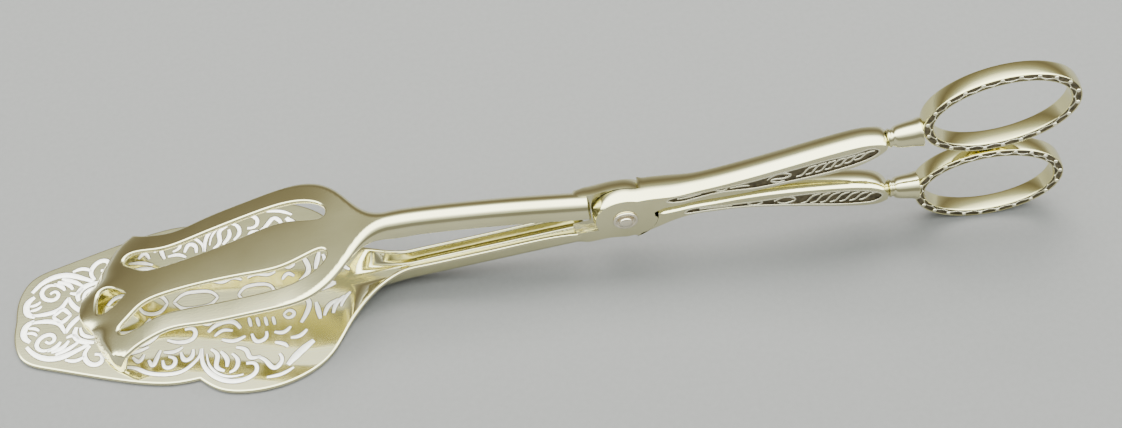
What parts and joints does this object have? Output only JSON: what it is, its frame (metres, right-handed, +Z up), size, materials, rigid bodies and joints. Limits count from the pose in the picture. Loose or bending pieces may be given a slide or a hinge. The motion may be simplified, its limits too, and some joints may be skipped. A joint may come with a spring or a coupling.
{
  "type": "serving tongs",
  "caption": "Scissor-action serving tongs: flat spade-shaped blade below, slotted arched jaw above, riveted half-lap joint, slim grips and oval finger rings.",
  "frame": {"origin": "middle of the footprint, on the surface that the closed tongs lie on", "axes": "+X from the jaws to the finger rings, +Z up, so the tongs open and close in the XZ plane"},
  "size_m": [0.2626, 0.0562, 0.0544],
  "materials": {
    "polished_plate": "polished pale champagne plating over brass",
    "engraved_plate": "polished plating with etched frosted scrollwork",
    "beaded_plate": "polished plating, darkened in the recesses between beads",
    "rivet_metal": "polished"
  },
  "bodies": {
    "blade_arm": {"lower_blade": "engraved_plate", "lower_shank": "polished_plate", "near_cheek": "polished_plate", "pivot_rivet": "rivet_metal", "near_washer": "rivet_metal", "far_washer": "rivet_metal", "upper_grip": "polished_plate", "upper_collar": "polished_plate", "upper_finger_ring": "beaded_plate"},
    "jaw_arm": {"upper_jaw": "polished_plate", "upper_shank": "polished_plate", "far_cheek": "polished_plate", "lower_grip": "polished_plate", "lower_collar": "polished_plate", "lower_finger_ring": "beaded_plate"}
  },
  "joints": [
    {"name": "pivot", "type": "hinge", "parent": "blade_arm", "child": "jaw_arm", "pos_m": [0.0221, 0, 0.0185], "axis": [0, 1, 0], "range_deg": [0, 38]}
  ]
}
